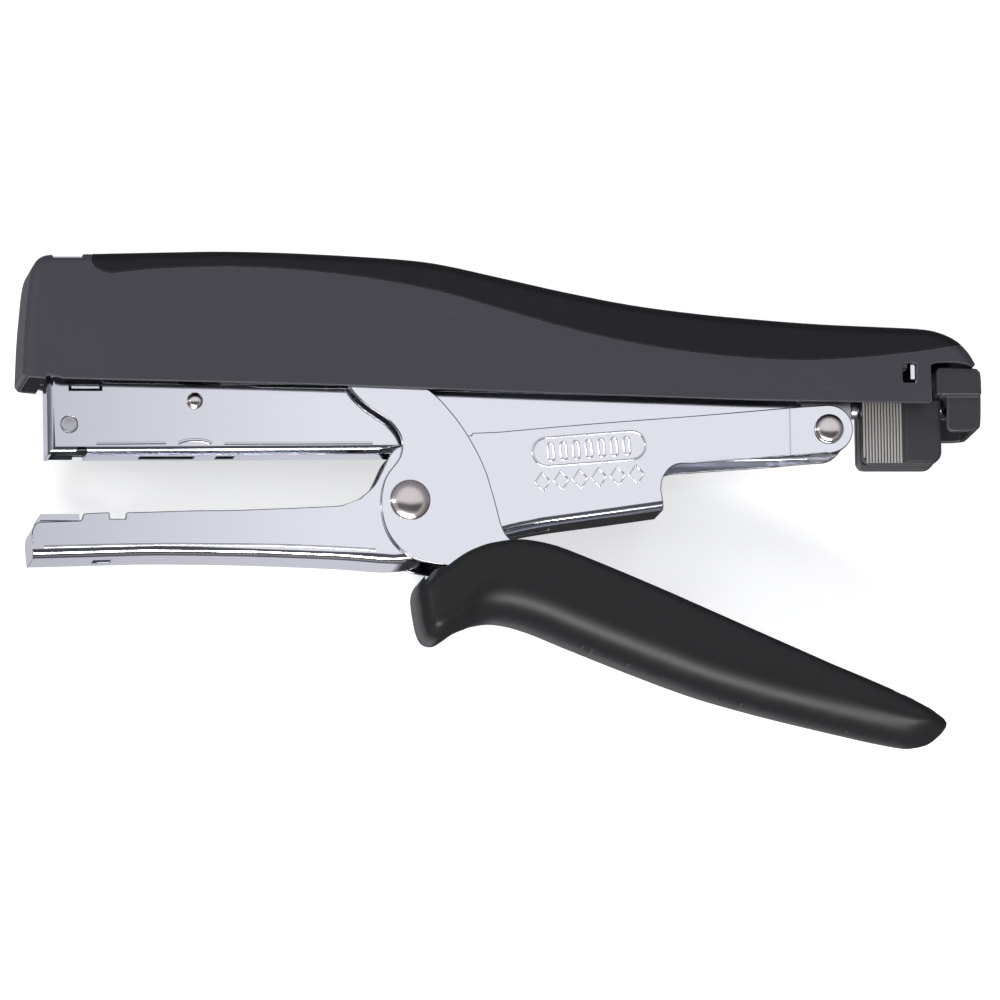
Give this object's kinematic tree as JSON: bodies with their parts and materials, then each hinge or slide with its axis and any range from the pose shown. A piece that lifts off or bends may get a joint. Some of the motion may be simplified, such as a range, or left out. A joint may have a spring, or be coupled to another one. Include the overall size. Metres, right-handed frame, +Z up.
{
  "type": "plier stapler",
  "caption": "Hand-held plier stapler: chromed magazine and anvil arm on a rear pivot, black moulded cover, squeeze lever with a black grip, and a pull-out loading rod.",
  "frame": {"origin": "centre of the bounding box's lowest plane: the floor that the tool's right side lies on", "axes": "+X towards the tool's rear, +Y towards its cover side, +Z up, out of its left side"},
  "size_m": [0.2499, 0.1286, 0.029],
  "materials": {
    "chrome": "bright chrome plate on pressed steel sheet",
    "steel": "plain steel, lightly oiled",
    "nickel": "polished dark nickel plate",
    "spring_wire": "drawn spring wire",
    "cover_plastic": "fine matt charcoal moulding",
    "soft_inlay": "smooth satin black soft moulding",
    "grip_plastic": "slightly grained black moulding",
    "latch_plastic": "satin black moulding"
  },
  "bodies": {
    "frame": {"magazine_housing": "chrome", "magazine_rail": "steel", "nose_rivet_left": "steel", "nose_rivet_right": "steel", "stop_pin_left": "steel", "stop_pin_right": "steel", "rear_rivet_left": "nickel", "rear_rivet_right": "nickel", "spring_seat": "steel"},
    "arm": {"anvil_arm": "chrome", "anvil_plate": "steel", "main_rivet": "nickel"},
    "lever": {"lever_arm": "chrome", "lever_grip": "grip_plastic", "cam_pin": "steel", "cam_washer_left": "steel", "cam_washer_right": "steel", "lever_spring": "spring_wire"},
    "driver": {"top_cover": "cover_plastic", "cover_inlay": "soft_inlay", "driver_beam": "steel", "driver_blade": "steel", "blade_holder": "steel", "front_clip": "steel", "rear_clip": "steel", "driver_spring": "spring_wire"},
    "loader": {"guide_rod": "steel", "rod_collar": "steel", "latch_block": "latch_plastic", "end_cap": "latch_plastic", "pusher_spring": "spring_wire"},
    "pusher": {"follower": "steel"},
    "latch_left": {"latch_pad_left": "latch_plastic"},
    "latch_right": {"latch_pad_right": "latch_plastic"}
  },
  "joints": [
    {"name": "lever_squeeze", "type": "hinge", "parent": "arm", "child": "lever", "pos_m": [-0.0241, -0.0014, 0.0145], "axis": [0, 0, 1], "range_deg": [0, 26], "stiffness_Nm_per_rad": 1.5, "springref_deg": -28.65},
    {"name": "jaw_close", "type": "hinge", "parent": "frame", "child": "arm", "pos_m": [0.0853, 0.0174, 0.0145], "axis": [0, 0, -1], "range_deg": [0, 4.1]},
    {"name": "driver_stroke", "type": "hinge", "parent": "frame", "child": "driver", "pos_m": [0.0853, 0.0174, 0.0145], "axis": [0, 0, 1], "range_deg": [0, 3.3], "deforming": ["driver_spring"]},
    {"name": "loader_pull", "type": "slide", "parent": "frame", "child": "loader", "axis": [1, 0, 0], "range_m": [0, 0.185]},
    {"name": "pusher_feed", "type": "slide", "parent": "loader", "child": "pusher", "axis": [1, 0, 0], "range_m": [0, 0.105], "stiffness_N_per_m": 30, "springref_m": -0.1, "deforming": ["pusher_spring"]},
    {"name": "latch_press_left", "type": "slide", "parent": "loader", "child": "latch_left", "axis": [0, 0, -1], "range_m": [0, 0.0012], "stiffness_N_per_m": 2000, "springref_m": -0.002},
    {"name": "latch_press_right", "type": "slide", "parent": "loader", "child": "latch_right", "axis": [0, 0, 1], "range_m": [0, 0.0012], "stiffness_N_per_m": 2000, "springref_m": -0.002}
  ],
  "couplings": [
    {"joint": "jaw_close", "follows": "lever_squeeze", "ratio": 0.15385},
    {"joint": "driver_stroke", "follows": "lever_squeeze", "ratio": 0.12308}
  ]
}
